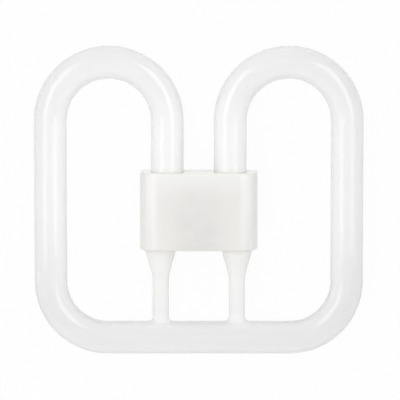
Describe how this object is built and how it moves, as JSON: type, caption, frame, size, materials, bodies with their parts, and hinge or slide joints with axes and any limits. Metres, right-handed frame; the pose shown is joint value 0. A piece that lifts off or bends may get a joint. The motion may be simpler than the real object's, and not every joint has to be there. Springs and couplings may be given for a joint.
{
  "type": "butterfly led lamp",
  "caption": "Opal LED lamp with its tube bent into mirrored D-shaped loops round a flat plug cap, braced by narrow flared stems and fed by recessed contact pins.",
  "frame": {"origin": "middle of the contact pins, in the plane of the rim behind the cap, on which the lamp lies", "axes": "+X across the lamp, +Y up it towards the round tops of the loops, +Z out of its front face"},
  "size_m": [0.1398, 0.1315, 0.0274],
  "materials": {
    "opal_glass": "opal white, glossy",
    "cap_plastic": "warm off-white, satin moulded",
    "pin_brass": "drawn, bright",
    "board_laminate": "green coated laminate",
    "inductor_ferrite": "dark grey ferrite",
    "capacitor_sleeve": "shrunk sleeve",
    "chip_epoxy": "black moulded epoxy",
    "lead_insulation": "white insulation"
  },
  "bodies": {
    "root": {"lamp_tube": "opal_glass", "cap_front": "cap_plastic", "cap_back": "cap_plastic", "contact_pin_1": "pin_brass", "contact_pin_2": "pin_brass", "contact_pin_3": "pin_brass", "contact_pin_4": "pin_brass", "driver_board": "board_laminate", "driver_inductor": "inductor_ferrite", "driver_capacitor": "capacitor_sleeve", "driver_rectifier": "chip_epoxy", "driver_controller": "chip_epoxy", "lead_wire_1": "lead_insulation", "lead_wire_2": "lead_insulation", "lead_wire_3": "lead_insulation", "lead_wire_4": "lead_insulation"}
  },
  "joints": []
}
